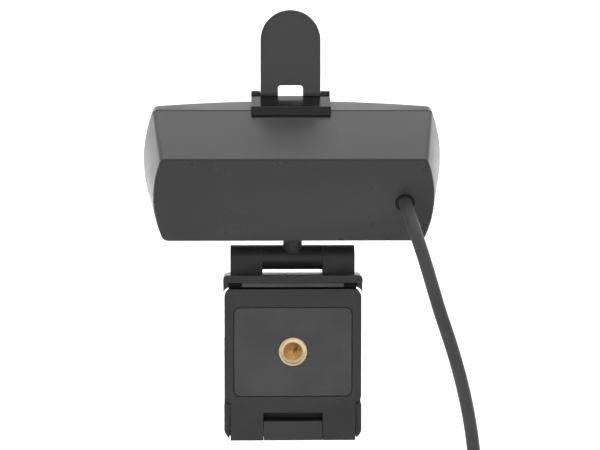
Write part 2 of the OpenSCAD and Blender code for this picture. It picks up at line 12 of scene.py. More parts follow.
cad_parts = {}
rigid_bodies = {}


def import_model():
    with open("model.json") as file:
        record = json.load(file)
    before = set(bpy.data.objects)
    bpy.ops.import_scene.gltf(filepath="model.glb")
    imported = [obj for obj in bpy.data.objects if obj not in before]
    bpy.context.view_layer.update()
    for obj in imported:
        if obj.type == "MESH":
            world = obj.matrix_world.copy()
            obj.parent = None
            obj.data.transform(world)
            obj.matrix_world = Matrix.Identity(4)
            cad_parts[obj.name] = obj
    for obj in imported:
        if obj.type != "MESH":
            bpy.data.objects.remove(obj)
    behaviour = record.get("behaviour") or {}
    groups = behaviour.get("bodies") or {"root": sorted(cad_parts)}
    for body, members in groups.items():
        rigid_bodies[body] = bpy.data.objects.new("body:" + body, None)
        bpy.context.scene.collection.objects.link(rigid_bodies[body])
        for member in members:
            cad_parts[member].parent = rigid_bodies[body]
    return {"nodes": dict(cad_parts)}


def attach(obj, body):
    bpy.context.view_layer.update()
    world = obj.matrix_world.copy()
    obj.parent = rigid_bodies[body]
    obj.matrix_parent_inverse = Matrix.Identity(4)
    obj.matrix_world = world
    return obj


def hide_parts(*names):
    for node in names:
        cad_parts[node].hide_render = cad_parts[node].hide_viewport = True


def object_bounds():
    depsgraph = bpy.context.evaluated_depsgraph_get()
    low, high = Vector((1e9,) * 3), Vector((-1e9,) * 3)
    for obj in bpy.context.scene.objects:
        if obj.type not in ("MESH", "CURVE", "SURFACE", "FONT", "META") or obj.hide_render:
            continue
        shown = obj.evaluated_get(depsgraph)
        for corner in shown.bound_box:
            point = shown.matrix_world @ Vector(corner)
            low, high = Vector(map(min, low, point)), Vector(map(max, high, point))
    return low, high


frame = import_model()
cad_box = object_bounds()

MM = 0.001

# ---------- the part's own dimensions, in millimetres ----------

TILT_Y, TILT_Z = 7.8, 25.2
PITCH = math.radians(24)
BODY_W, BODY_H = 81.4, 31.6
BODY_MID = 23.3
BACK_Y, SEAM_Y, RIM_Y, FRONT_Y = -12, 11, 14.4, 18
BOW_HALF = 37.5
DRAFT = math.tan(math.radians(9.4))
BULGE = 3.1
SEAM_CORNER = 1.4
WALL = 1.6
LENS_Z = BODY_MID + 3
GLAND_X, GLAND_Z = 29.2, 22.7
LED_X, MIC_X = 13, 22
AXIS_Y, AXIS_Z = 7.35, 1.5
FLAP_AXIS = (-0.5, SEAM_Y + AXIS_Y, BODY_MID + BODY_H / 2 + AXIS_Z)
FLAP_W, FLAP_L = 16.4, 23.0
HOLE_HALF, HOLE_TOP = 3.4, 2.5
HINGE_R = 1.1
BARREL_R = 3.4
KNUCKLE = 8.21
EAR_IN, EAR_OUT = 8.23, 17.0
ARM_HALF, ARM_Y, ARM_T, ARM_WAIST, ARM_CORNER = 18.75, 5.5, 4, 16.6, 3
HEEL_CHEEK, HEEL_CHEEK_TOP = 17.06, -14.6
BLOCK_HALF, BLOCK_TOP, BLOCK_BACK = 7.97, -18.95, 8.4
LIP_TOP, LIP_HALF = 20.9, 18.9
FOOT_HALF, FOOT_T, FOOT_TOP, FOOT_BOTTOM = 18.6, 5, 17.1, -24.3
FOOT_CORNER, FOOT_SHOULDER = 2.3, -14.2
HINGE_Y, HINGE_Z = 2.7, -22.0
HEEL_HALF, FORK, FORK_TOP = 17, 8.05, -16.7
PAD_HALF, PAD_TOP, PAD_BOTTOM = 16.1, 12.1, -12.2
CABLE_D = 3.4
LEAD_X, LEAD_Y = 46.4, -27.0
HANK_TOP, HANK_RUN, HANK_GAP = -28.0, 56.0, 21.0
LAYERS = 4
HANK_OUTER = HANK_GAP / 2 + 1.5 * CABLE_D
HANK_MID = HANK_TOP - HANK_RUN / 2 - HANK_OUTER
HANK_X = LEAD_X - (LAYERS - 1) / 2 * CABLE_D
HANK_Y = LEAD_Y + HANK_GAP / 2 + CABLE_D
TAIL_X = LEAD_X - (LAYERS - 1) * CABLE_D
PLUG_TOP = HANK_TOP - HANK_RUN - 2 * HANK_OUTER - 7
PLUG_GRIP_BOTTOM = PLUG_TOP - 31
PLUG_END = PLUG_GRIP_BOTTOM - 12

IN_CAMERA = Matrix.Translation((0, TILT_Y, TILT_Z)) @ Matrix.Rotation(PITCH, 4, "X")
AT_LENS = IN_CAMERA @ Matrix.Translation((0, 0, LENS_Z))
AT_FLAP = (
    IN_CAMERA @ Matrix.Translation(FLAP_AXIS) @ Matrix.Rotation(-PITCH, 4, "X")
)
AT_MOUNT = IN_CAMERA @ Matrix.Translation((FLAP_AXIS[0], SEAM_Y, BODY_MID + BODY_H / 2))
AT_GLAND = IN_CAMERA @ Matrix.Translation((GLAND_X, BACK_Y, GLAND_Z))
AT_PLUG = Matrix.Translation((TAIL_X, LEAD_Y, 0)) @ Matrix.Rotation(math.pi / 2, 4, "Z")


# ---------- camera ----------


def make_camera():
    """Behind the webcam, a little to the left of it and a little above."""
    distance, turn, rise = 0.45, math.radians(1.63), math.radians(3.5)
    target = Vector((0.0019, 0, 0.0345))
    level = math.cos(rise)
    aim = Vector((math.sin(turn) * level, math.cos(turn) * level, -math.sin(rise)))
    data = bpy.data.cameras.new("camera")
    data.sensor_width = 36
    data.lens = 99.9
    camera = bpy.data.objects.new("camera", data)
    bpy.context.scene.collection.objects.link(camera)
    camera.location = target - distance * aim
    camera.rotation_euler = aim.to_track_quat("-Z", "Y").to_euler()
    bpy.context.scene.camera = camera


make_camera()

# ---------- outlines ----------


def arc(cx, cy, r, start, end, steps=8):
    """Points on an arc, from start to end in degrees."""
    turn = [math.radians(start + (end - start) * i / steps) for i in range(steps + 1)]
    return [Vector((cx + r * math.cos(a), cy + r * math.sin(a))) for a in turn]


def circle(cx, cy, r, steps=48):
    return arc(cx, cy, r, 0, 360 * (steps - 1) / steps, steps - 1)


def rounded(corners, steps=6):
    """Closed outline through corners (x, y, radius), each rounded by its radius."""
    outline = []
    for i, (x, y, r) in enumerate(corners):
        corner = Vector((x, y))
        before = (Vector(corners[i - 1][:2]) - corner).normalized()
        after = (Vector(corners[(i + 1) % len(corners)][:2]) - corner).normalized()
        if r <= 0:
            outline.append(corner)
            continue
        half = before.angle(after) / 2
        reach = r / math.tan(half)
        centre = corner + (before + after).normalized() * (r / math.sin(half))
        a = corner + before * reach - centre
        b = corner + after * reach - centre
        start = math.atan2(a.y, a.x)
        swing = math.remainder(math.atan2(b.y, b.x) - start, 2 * math.pi)
        for k in range(steps + 1):
            t = start + swing * k / steps
            outline.append(centre + r * Vector((math.cos(t), math.sin(t))))
    return outline


def box_outline(x0, y0, x1, y1, r):
    return rounded([(x0, y0, r), (x1, y0, r), (x1, y1, r), (x0, y1, r)])


def turned(outline, left):
    """The outline turning left (an outside) or right (a hole)."""
    area = sum(outline[i - 1].cross(outline[i]) for i in range(len(outline)))
    return outline if (area > 0) == left else outline[::-1]


def inset(outline, d):
    """The outline drawn in by d; a hole's outline opens by d."""
    moved = []
    for i, p in enumerate(outline):
        a = (p - outline[i - 1]).normalized()
        b = (outline[(i + 1) % len(outline)] - p).normalized()
        na, nb = Vector((-a.y, a.x)), Vector((-b.y, b.x))
        moved.append(p + (na + nb) * (d / max(0.4, 1 + na.dot(nb))))
    return moved


def housing_outline(narrow):
    """The housing's outline with its bowed ends, drawn in by narrow on every side."""
    half_w, half_h = BODY_W / 2 - narrow, BODY_H / 2 - narrow
    r = SEAM_CORNER + 0.15 * narrow
    slope = 2 * BULGE / (half_h * BODY_H / 2)
    meet = half_h - r
    for _ in range(6):
        lean = math.atan(slope * meet)
        meet = half_h - r + r * math.sin(lean)
    end = half_w - slope / 2 * meet ** 2
    centre_x = end - r * math.cos(lean)
    lean = math.degrees(lean)
    quarter = arc(centre_x, half_h - r, r, 90, lean, 8)
    side = [
        Vector((half_w - slope / 2 * z ** 2, z))
        for z in [meet * (1 - i / 6) for i in range(1, 12)]
    ]
    right = quarter + side + [Vector((p.x, -p.y)) for p in reversed(quarter)]
    left = [Vector((-p.x, p.y)) for p in reversed(right)]
    return [p + Vector((0, BODY_MID)) for p in turned(right + left, True)]


def bow(x):
    """Front of the housing at x: it bows forward in the middle."""
    return FRONT_Y - (FRONT_Y - RIM_Y) * (x / BOW_HALF) ** 2


# ---------- solids ----------

AXES = {
    "x": lambda u, v, w: (w, u, v),
    "y": lambda u, v, w: (u, w, v),
    "z": lambda u, v, w: (u, v, w),
}


def round_edges(lo, hi, edge, steps=3):
    """(height, inset) steps of a wall whose two edges are rounded by edge."""
    quarter = [math.radians(90 * i / steps) for i in range(steps + 1)]
    low = [(lo + edge * (1 - math.cos(a)), edge * (1 - math.sin(a))) for a in quarter]
    return low + [(hi + lo - w, d) for w, d in reversed(low)]


def strip(bm, a, b):
    """Faces between two rings of the same length."""
    for i in range(len(a)):
        bm.faces.new((a[i - 1], a[i], b[i], b[i - 1]))


def cap(bm, rings):
    """Fills between an outer ring and the rings inside it."""
    edges = []
    for ring in rings:
        for i in range(len(ring)):
            edge = bm.edges.get((ring[i - 1], ring[i]))
            edges.append(edge or bm.edges.new((ring[i - 1], ring[i])))
    bmesh.ops.triangle_fill(bm, use_beauty=True, use_dissolve=False, edges=edges)


def plate(outlines, lo, hi, edge=0.25, axis="y", wall=None, dish=None):
    """Solid from lo to hi with these outlines: the outside, then any holes.

    wall gives the outside's own (height, inset) steps. dish is (x, y, r, depth), a
    round hollow in the low face.
    """
    bm = bmesh.new()
    place = AXES[axis]
    lows, highs = [], []
    for k, outline in enumerate(outlines):
        outline = turned(outline, k == 0)
        steps = wall if wall and k == 0 else round_edges(lo, hi, edge)
        rings = [
            [bm.verts.new(place(p.x, p.y, w)) for p in inset(outline, d)]
            for w, d in steps
        ]
        for a, b in zip(rings, rings[1:]):
            strip(bm, a, b)
        lows.append(rings[0])
        highs.append(rings[-1])
    if dish:
        cx, cy, r, depth = dish
        rings = []
        curve = [(1, 0), (0.992, 0.3)]
        curve += [(0.985 * (1 - i / 12), 1 - 0.62 * (1 - i / 12) ** 2) for i in range(12)]
        for share, drop in curve:
            outline = circle(cx, cy, r * share, 96)
            rings.append([bm.verts.new(place(p.x, p.y, lo + depth * drop)) for p in outline])
        for a, b in zip(rings, rings[1:]):
            strip(bm, a, b)
        cap(bm, [rings[-1]])
        lows.append(rings[0])
    cap(bm, lows)
    cap(bm, highs)
    return solid(bm)


def loft(rings, axis="y"):
    """Closed solid through rings, each (outline, height)."""
    bm = bmesh.new()
    place = AXES[axis]
    made = [[bm.verts.new(place(p.x, p.y, w)) for p in ring] for ring, w in rings]
    for a, b in zip(made, made[1:]):
        strip(bm, a, b)
    cap(bm, [made[0]])
    cap(bm, [made[-1]])
    return solid(bm)


def lathe(profile, axis="y", steps=64, closed=True):
    """Solid of revolution: profile is (radius, height) round its section.

    A radius may be a function of the angle. Where closed is false, the profile
    starts and ends on the axis.
    """
    bm = bmesh.new()
    place = AXES[axis]
    rings = []
    for r, w in profile:
        ring = []
        for i in range(steps):
            a = 2 * math.pi * i / steps
            radius = r(a) if callable(r) else r
            ring.append(bm.verts.new(place(radius * math.cos(a), radius * math.sin(a), w)))
        rings.append(ring)
    for a, b in zip(rings, rings[1:]):
        strip(bm, a, b)
    if closed:
        strip(bm, rings[-1], rings[0])
    else:
        cap(bm, [rings[0]])
        cap(bm, [rings[-1]])
    return solid(bm)


def rod(r, half, axis="x", edge=0.2, steps=48):
    """Round bar centred on the origin, its two ends rounded."""
    profile = [(r - d, w) for w, d in round_edges(-half, half, edge)]
    return lathe(profile, axis, steps, closed=False)


def solid(bm):
    bmesh.ops.recalc_face_normals(bm, faces=bm.faces)
    mesh = bpy.data.meshes.new("solid")
    bm.to_mesh(mesh)
    bm.free()
    return mesh


def moved(mesh, x=0, y=0, z=0):
    mesh.transform(Matrix.Translation((x, y, z)))
    return mesh


def combine(mesh, how, *others):
    """mesh with others added (UNION), taken away (DIFFERENCE) or INTERSECT."""
    target = bpy.data.objects.new("target", mesh)
    scene_objects = bpy.context.scene.collection.objects
    scene_objects.link(target)
    for other in others:
        tool = bpy.data.objects.new("tool", other)
        scene_objects.link(tool)
        step = target.modifiers.new("step", "BOOLEAN")
        step.operation = how
        step.solver = "MANIFOLD"
        step.object = tool
        step_graph = bpy.context.evaluated_depsgraph_get()
        result = bpy.data.meshes.new_from_object(target.evaluated_get(step_graph))
        target.modifiers.clear()
        target.data = result
        bpy.data.objects.remove(tool)
    result = target.data
    bpy.data.objects.remove(target)
    return result


def piece(name, mesh, body, nodes, material, space=None, sharp=38):
    """A finished piece: in metres, smooth up to sharp degrees, on its body."""
    if space:
        mesh.transform(space)
    mesh.transform(Matrix.Scale(MM, 4))
    bm = bmesh.new()
    bm.from_mesh(mesh)
    bmesh.ops.remove_doubles(bm, verts=bm.verts, dist=2e-7)
    bmesh.ops.dissolve_degenerate(bm, edges=bm.edges, dist=2e-7)
    bmesh.ops.dissolve_limit(
        bm, angle_limit=math.radians(0.1), verts=bm.verts, edges=bm.edges,
        use_dissolve_boundaries=False,
    )
    bmesh.ops.recalc_face_normals(bm, faces=bm.faces)
    limit = math.radians(sharp)
    for edge in bm.edges:
        edge.smooth = len(edge.link_faces) == 2 and edge.calc_face_angle(0) < limit
    for face in bm.faces:
        face.smooth = True
        face.material_index = 0
    bm.to_mesh(mesh)
    bm.free()
    mesh.materials.clear()
    mesh.materials.append(material)
    mesh.name = name
    made = bpy.data.objects.new(name, mesh)
    bpy.context.scene.collection.objects.link(made)
    weigh = made.modifiers.new("even normals", "WEIGHTED_NORMAL")
    weigh.keep_sharp = True
    weigh.weight = 100
    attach(made, body)
    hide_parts(*nodes)
    return made


# ---------- materials ----------


class Look:
    """A material's node tree, with short calls for what the looks here use."""

    def __init__(self, name):
        self.material = bpy.data.materials.new(name)
        self.material.use_nodes = True
        self.tree = self.material.node_tree
        self.shader = self.tree.nodes["Principled BSDF"]
        self.place = self.node("ShaderNodeTexCoord").outputs["Object"]

    def node(self, kind, **settings):
        made = self.tree.nodes.new(kind)
        for key, value in settings.items():
            setattr(made, key, value)
        return made

    def link(self, a, b):
        self.tree.links.new(a, b)

    def set(self, **values):
        for key, value in values.items():
            self.shader.inputs[key.replace("_", " ")].default_value = value
        return self

    def noise(self, scale, detail=3, stretch=None):
        made = self.node("ShaderNodeTexNoise")
        made.inputs["Scale"].default_value = scale
        made.inputs["Detail"].default_value = detail
        source = self.place
        if stretch:
            mapping = self.node("ShaderNodeMapping")
            mapping.inputs["Scale"].default_value = stretch
            self.link(source, mapping.inputs["Vector"])
            source = mapping.outputs["Vector"]
        self.link(source, made.inputs["Vector"])
        return made.outputs["Fac"]

    def span(self, value, lo, hi, low=0.3, high=0.7):
        made = self.node("ShaderNodeMapRange", interpolation_type="SMOOTHSTEP")
        for key, number in zip(("From Min", "From Max", "To Min", "To Max"), (low, high, lo, hi)):
            made.inputs[key].default_value = number
        self.link(value, made.inputs["Value"])
        return made.outputs["Result"]

    def blend(self, factor, a, b):
        """Colour from a to b as factor goes from 0 to 1."""
        made = self.node("ShaderNodeMix", data_type="RGBA")
        self.link(factor, made.inputs["Factor"])
        for socket, value in (("A", a), ("B", b)):
            target = [s for s in made.inputs if s.name == socket and s.type == "RGBA"][0]
            if isinstance(value, tuple):
                target.default_value = value + (1,)
            else:
                self.link(value, target)
        return [s for s in made.outputs if s.type == "RGBA"][0]

    def colour(self, output):
        self.link(output, self.shader.inputs["Base Color"])

    def rough(self, output):
        self.link(output, self.shader.inputs["Roughness"])

    def bump(self, *layers):
        """Bump from (height, strength, distance in metres) layers."""
        normal = None
        for height, strength, distance in layers:
            made = self.node("ShaderNodeBump")
            made.inputs["Strength"].default_value = strength
            made.inputs["Distance"].default_value = distance
            self.link(height, made.inputs["Height"])
            if normal:
                self.link(normal, made.inputs["Normal"])
            normal = made.outputs["Normal"]
        self.link(normal, self.shader.inputs["Normal"])


def grey(value, tint=0.0):
    return (value, value, value * (1 + tint))


def plastic(name, shade, rough, grain=0.3, grain_scale=5200, edge_highlight=0.05, gloss=0.5):
    """Moulded plastic: fine grain, slight shade and roughness drift, and a painted highlight that
    lightens the edges.
    """
    look = Look(name)
    look.set(Specular_IOR_Level=gloss)
    drift = look.noise(45, 1)
    grains = look.noise(grain_scale, 2)
    base = look.blend(drift, grey(shade * 0.9, 0.02), grey(shade * 1.1, 0.02))
    flecks = look.span(look.noise(2400, 1), 0, 0.35, 0.62, 0.8)
    base = look.blend(flecks, base, grey(shade * 1.6, 0.02))
    # painted highlight: where the mesh is sharp (high pointiness) the colour is lightened, standing in
    # for light caught on the rounded edges; the strength argument sets how far
    edge = look.node("ShaderNodeNewGeometry").outputs["Pointiness"]
    painted_edge_highlight = look.span(edge, 0, edge_highlight * 4, 0.505, 0.57)
    look.colour(look.blend(painted_edge_highlight, base, grey(min(1, shade * 2.4), 0.02)))
    look.rough(look.span(look.noise(130, 2), rough - 0.04, rough + 0.05, 0, 1))
    look.bump((grains, grain, 0.00002))
    return look.material


def rubber(name, shade, rough=0.62, grain=0.35):
    """Soft matt rubber with a dusty sheen."""
    look = Look(name)
    look.set(Specular_IOR_Level=0.35, Sheen_Weight=0.12, Sheen_Roughness=0.5)
    drift = look.noise(90, 3)
    look.colour(look.blend(look.span(drift, 0, 1), grey(shade * 0.9), grey(shade * 1.1)))
    look.rough(look.span(look.noise(700, 2), rough - 0.05, rough + 0.07))
    look.bump((look.noise(4200, 3), grain, 0.00003), (drift, 0.1, 0.0003))
    return look.material


def metal(name, base, rough, stretch=(1, 1, 1), tarnish=0.85):
    """Machined metal: fine turned lines, and a thin uneven tarnish."""
    look = Look(name)
    look.set(Metallic=1.0)
    stain = look.noise(260, 4)
    dull = tuple(c * tarnish for c in base)
    look.colour(look.blend(look.span(stain, 0, 1), dull, base))
    lines = look.noise(2600, 2, stretch)
    look.rough(look.span(lines, rough - 0.05, rough + 0.09))
    look.bump((lines, 0.22, 0.00002))
    return look.material


def glass(name, tint, rough=0.02, coat=(0.25, 0.1, 0.55)):
    """Clear optical glass with a faint coating colour."""
    look = Look(name)
    look.set(Transmission_Weight=1.0, IOR=1.6, Coat_Weight=1.0, Coat_Tint=coat + (1,))
    smear = look.noise(180, 3)
    look.colour(look.blend(look.span(smear, 0, 1), tint, tuple(min(1, c * 1.05) for c in tint)))
    look.rough(look.span(smear, rough, rough + 0.03, 0.5, 0.8))
    return look.material


def board_green():
    look = Look("board_green")
    look.set(Specular_IOR_Level=0.6)
    tracks = look.node("ShaderNodeTexBrick")
    tracks.inputs["Scale"].default_value = 900
    tracks.inputs["Mortar Size"].default_value = 0.04
    look.link(look.place, tracks.inputs["Vector"])
    lines = tracks.outputs["Fac"]
    look.colour(look.blend(lines, (0.012, 0.09, 0.035), (0.03, 0.2, 0.08)))
    look.rough(look.span(look.noise(400), 0.25, 0.4))
    look.bump((lines, 0.3, 0.00003))
    return look.material


def moulded_white(name, base):
    look = Look(name)
    drift = look.noise(300, 3)
    look.set(Subsurface_Weight=0.1, Subsurface_Scale=0.0006)
    look.colour(look.blend(look.span(drift, 0, 1), tuple(c * 0.92 for c in base), base))
    look.rough(look.span(drift, 0.35, 0.5))
    look.bump((look.noise(3000), 0.1, 0.00002))
    return look.material


def woven_tie():
    look = Look("tie_fabric")
    look.set(Sheen_Weight=0.4, Specular_IOR_Level=0.2)
    weave = look.node("ShaderNodeTexWave", wave_type="BANDS", bands_direction="DIAGONAL")
    weave.inputs["Scale"].default_value = 900
    weave.inputs["Distortion"].default_value = 1.5
    look.link(look.place, weave.inputs["Vector"])
    threads = weave.outputs["Fac"]
    look.colour(look.blend(threads, grey(0.008), grey(0.03)))
    look.rough(look.span(threads, 0.75, 0.9, 0, 1))
    look.bump((threads, 0.5, 0.0001))
    return look.material


# the last number on each plastic is the strength of its painted edge highlight, not wear
HOUSING = plastic("housing_plastic", 0.039, 0.29, grain=0.25, edge_highlight=0.12)
CAP = plastic("cap_plastic", 0.1, 0.3, grain=0.2, edge_highlight=0.02)
CLIP = plastic("clip_plastic", 0.038, 0.4, grain=0.35, edge_highlight=0.09)
BRACKET = plastic("bracket_gloss", 0.009, 0.16, grain=0.04, edge_highlight=0.1)
FLAP = plastic("flap_plastic", 0.074, 0.3, grain=0.12, edge_highlight=0)
PANEL = plastic("panel_gloss", 0.004, 0.06, grain=0.02, edge_highlight=0.0, gloss=0.6)
BLACK = plastic("black_plastic", 0.012, 0.5, grain=0.3)
PLUG = plastic("plug_plastic", 0.022, 0.45, grain=0.4)
PAD = rubber("pad_rubber", 0.1, 0.66)
GLAND = rubber("gland_rubber", 0.012, 0.6)
JACKET = rubber("cable_jacket", 0.075, 0.45, grain=0.2)
BRASS = metal("brass", (0.98, 0.78, 0.5), 0.2, (1, 6, 1), tarnish=0.93)
STEEL = metal("steel", (0.6, 0.6, 0.6), 0.28, (8, 1, 1))
NICKEL = metal("nickel", (0.78, 0.77, 0.74), 0.2, (1, 1, 7))
RING = metal("ring_metal", (0.1, 0.1, 0.105), 0.3, (1, 6, 1))
GLASS = glass("lens_glass", (0.86, 0.88, 0.96))
FILTER = glass("filter_glass", (0.5, 0.85, 0.8))
PIPE = glass("light_pipe", (0.9, 0.9, 0.92), 0.3, (1.0, 1.0, 1.0))
NYLON = moulded_white("white_nylon", (0.78, 0.76, 0.7))
LED = moulded_white("led", (0.85, 0.82, 0.6))
BOARD = board_green()
TIE = woven_tie()

# ---------- cable ----------

EXIT = IN_CAMERA @ Vector((GLAND_X, BACK_Y, GLAND_Z))
LEAD_ROUTE = [
    (29.4, -15.2, 39.8), (29.8, -18.6, 38.0), (30.5, -21.6, 35.4),
    (31.5, -24.0, 32.1), (32.7, -25.7, 28.2), (33.9, -26.7, 24.0),
    (35.2, -27.2, 19.5), (36.5, -27.4, 15.0), (38.2, -27.4, 10.0),
    (39.9, -27.3, 5.0), (41.4, -27.2, 0.0), (43.0, -27.1, -6.0),
    (44.3, -27.0, -12.0), (45.3, -27.0, -18.0), (46.0, -27.0, -24.0),
    (46.3, -27.0, -30.0), (LEAD_X, LEAD_Y, -37.0),
]


def smooth(t):
    return t * t * (3 - 2 * t)


def strand(x, waist, reach, side, down, steps=14):
    """One run of the hank on the near (-1) or far (+1) side, past the tie."""
    points = []
    for i in range(steps + 1):
        t = 2 * i / steps - 1
        half = waist + (reach - waist) * smooth(abs(t))
        z = HANK_MID + t * HANK_RUN / 2 * (-1 if down else 1)
        points.append((x, HANK_Y + side * half, z))
    return points


def bend(x0, x1, r0, r1, top, steps=12):
    """Half a turn round the hank's end, between the near and the far side."""
    points = []
    start = HANK_MID + (HANK_RUN / 2 if top else -HANK_RUN / 2)
    for i in range(1, steps):
        t = i / steps
        a = math.pi * t
        r = r0 + (r1 - r0) * smooth(t)
        x = x0 + (x1 - x0) * smooth(t)
        side = math.cos(a) if top else -math.cos(a)
        points.append((x, HANK_Y + side * r, start + (r if top else -r) * math.sin(a)))
    return points


def hank_points():
    """Two loops a layer: outer then inner, then inner then outer, and so on."""
    inner = (CABLE_D / 2, HANK_GAP / 2)
    outer = (1.5 * CABLE_D, HANK_GAP / 2 + CABLE_D)
    loops = []
    for layer in range(LAYERS):
        pair = [outer, inner] if layer % 2 == 0 else [inner, outer]
        loops += [(LEAD_X - layer * CABLE_D, *size) for size in pair]
    points = []
    for i, (x, waist, reach) in enumerate(loops):
        points += strand(x, waist, reach, -1, True)
        if i == len(loops) - 1:
            break
        following = loops[i + 1]
        points += bend(x, x, reach, reach, False)
        points += strand(x, waist, reach, 1, False)
        points += bend(x, following[0], reach, following[2], True)
    return points


def make_cable():
    tail = [(TAIL_X, LEAD_Y, z) for z in (-118.0, -122.0, PLUG_TOP + 1, PLUG_TOP - 4)]
    route = [tuple(EXIT + (IN_CAMERA.to_3x3() @ Vector((0, 3, 0)))), tuple(EXIT)]
    route += LEAD_ROUTE + hank_points() + tail
    data = bpy.data.curves.new("usb_cable", "CURVE")
    data.dimensions = "3D"
    data.bevel_depth = CABLE_D / 2 * MM
    data.bevel_resolution = 6
    data.resolution_u = 3
    data.use_fill_caps = True
    line = data.splines.new("NURBS")
    line.points.add(len(route) - 1)
    for point, place in zip(line.points, route):
        point.co = [c * MM for c in place] + [1]
    line.order_u = 4
    line.use_endpoint_u = True
    data.materials.append(JACKET)
    cable = bpy.data.objects.new("usb_cable", data)
    bpy.context.scene.collection.objects.link(cable)
    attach(cable, "camera")
    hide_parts("cable_lead", "cable_hank", "cable_tail")
    return cable


def make_tie():
    half_x, half_y = LAYERS * CABLE_D / 2 + 0.1, 2 * CABLE_D + 0.75
    ring = plate(
        [
            box_outline(-half_x - 0.8, -half_y - 0.8, half_x + 0.8, half_y + 0.8, 2.2),
            box_outline(-half_x, -half_y, half_x, half_y, 1.4),
        ],
        -4, 4, 0.3, "z",
    )
    end = plate([box_outline(-5, -4, half_x + 0.2, 4, 1.2)], 0, 0.75, 0.25, "y")
    moved(end, y=-half_y - 1.2)
    mesh = combine(ring, "UNION", end)
    return piece(
        "cable_tie_strap", mesh, "camera", ["cable_tie"], TIE,
        Matrix.Translation((HANK_X, HANK_Y, HANK_MID)),
    )


def plug_outline(half_w, half_t, r):
    return box_outline(-half_w, -half_t, half_w, half_t, r)


def make_plug():
    """The moulded grip with its ribbed strain relief, the shell and its tongue."""
    grip = loft(
        [
            (plug_outline(7.2, 3.3, 1.6), 0), (plug_outline(7.6, 3.7, 1.9), 0.5),
            (plug_outline(7.7, 3.8, 2), 1.2), (plug_outline(7.7, 3.8, 2), 17),
            (plug_outline(7.4, 3.7, 2.2), 19.5), (plug_outline(6, 3.2, 2.6), 21.4),
            (plug_outline(4.6, 2.9, 2.8), 22),
        ],
        "z",
    )
    ribs = [(3.2, 20)]
    for k in range(6):
        base = 22.2 + 1.45 * k
        r = 3.25 - 0.14 * k
        ribs += [(r, base), (r, base + 0.75), (r - 0.55, base + 0.95), (r - 0.55, base + 1.25)]
    ribs += [(2.3, 30.7), (2.0, 31)]
    relief = lathe(ribs, "z", 40, closed=False)
    hollow = plate([plug_outline(5.95, 2.2, 0.4)], -1, 6.6, 0.05, "z")
    grooves = [
        plate([box_outline(-5.6, z, 5.6, z + 0.9, 0.4)], side * 3.8 - 0.3, side * 3.8 + 0.3, 0.1)
        for side in (-1, 1) for z in (9.5, 11.6, 13.7)
    ]
    mesh = combine(combine(grip, "UNION", relief), "DIFFERENCE", hollow, *grooves)
    space = AT_PLUG @ Matrix.Translation((0, 0, PLUG_GRIP_BOTTOM))
    grip_piece = piece("plug_grip", mesh, "camera", ["usb_plug_body"], PLUG, space)
    shell = plate([plug_outline(6, 2.25, 0.6), plug_outline(5.7, 1.95, 0.35)], 0, 18.6, 0.1, "z")
    windows = [
        plate([box_outline(x - 1.2, 4.2, x + 1.2, 7.2, 0.2)], side * 2.1 - 0.6, side * 2.1 + 0.6, 0.05)
        for side in (-1, 1) for x in (-2.6, 2.6)
    ]
    at_end = AT_PLUG @ Matrix.Translation((0, 0, PLUG_END))
    shell = combine(shell, "DIFFERENCE", *windows)
    shell_piece = piece("plug_shell", shell, "camera", ["usb_plug_shell"], NICKEL, at_end)
    tongue = plate([box_outline(-5.5, 0.05, 5.5, 1.95, 0.2)], 1, 17.8, 0.15, "z")
    tongue_piece = piece(
        "plug_tongue", tongue, "camera", ["usb_plug_tongue"], NYLON, at_end
    )
    return [grip_piece, shell_piece, tongue_piece]


cable = make_cable()
tie = make_tie()
plug = make_plug()

# ---------- housing ----------


def narrowing(y):
    return max(0, SEAM_Y - y) * DRAFT


def make_rear_shell():
    fillet = 0.45
    seam = SEAM_Y - 0.14
    outer = []
    for i in range(7):
        a = math.radians(90 * i / 6)
        y = BACK_Y + fillet * (1 - math.cos(a))
        outer.append((housing_outline(narrowing(y) + fillet * (1 - math.sin(a))), y))
    for y, extra in ((seam - 0.22, 0), (seam - 0.07, 0.05), (seam, 0.2)):
        outer.append((housing_outline(narrowing(y) + extra), y))
    inner = [
        (housing_outline(narrowing(y) + WALL), y) for y in (seam, BACK_Y + WALL)
    ]
    shell = loft(outer + inner)
    boss = lathe([(4.2, 8.32), (4.7, 8.36), (5, 8.6), (5, 11.9)], "z", closed=False)
    shell = combine(shell, "UNION", boss)
    gland = lathe([(2.7, -1), (2.7, -0.05), (2.36, 0.25), (2.36, 3)], closed=False)
    moved(gland, GLAND_X, BACK_Y, GLAND_Z)
    shank = lathe([(2.9, 7), (2.9, 8.2), (2.5, 8.6), (2.3, 13)], "z", closed=False)
    shell = combine(shell, "DIFFERENCE", gland, shank)
    return piece("rear_housing", shell, "camera", ["rear_shell"], HOUSING, IN_CAMERA)


def bent(mesh, start):
    """The mesh with everything ahead of start pushed forward to follow the bow."""
    bm = bmesh.new()
    bm.from_mesh(mesh)
    for i in range(-20, 21):
        parts = bm.verts[:] + bm.edges[:] + bm.faces[:]
        plane = (i * 2 + 0.13, 0, 0)
        bmesh.ops.bisect_plane(bm, geom=parts, plane_co=plane, plane_no=(1, 0, 0))
    for vert in bm.verts:
        if vert.co.y > start:
            vert.co.y += bow(vert.co.x) - RIM_Y
    bm.to_mesh(mesh)
    bm.free()
    return mesh


def make_front_cap():
    start = SEAM_Y + 0.16
    wall = [(start, 0.25), (start + 0.08, 0.06), (start + 0.2, 0)]
    for i in range(7):
        a = math.radians(90 * i / 6)
        wall.append((RIM_Y - 0.45 + 0.4 * math.sin(a), 0.05 + 0.4 * (1 - math.cos(a))))
    opening = box_outline(-36.65, BODY_MID - 12.65, 36.65, BODY_MID + 12.65, 4)
    rim = plate([housing_outline(0), opening], start, RIM_Y - 0.05, 0.12, wall=wall)
    bent(rim, start + 0.5)
    return piece("front_rim", rim, "camera", ["front_cap"], CAP, IN_CAMERA, sharp=30)


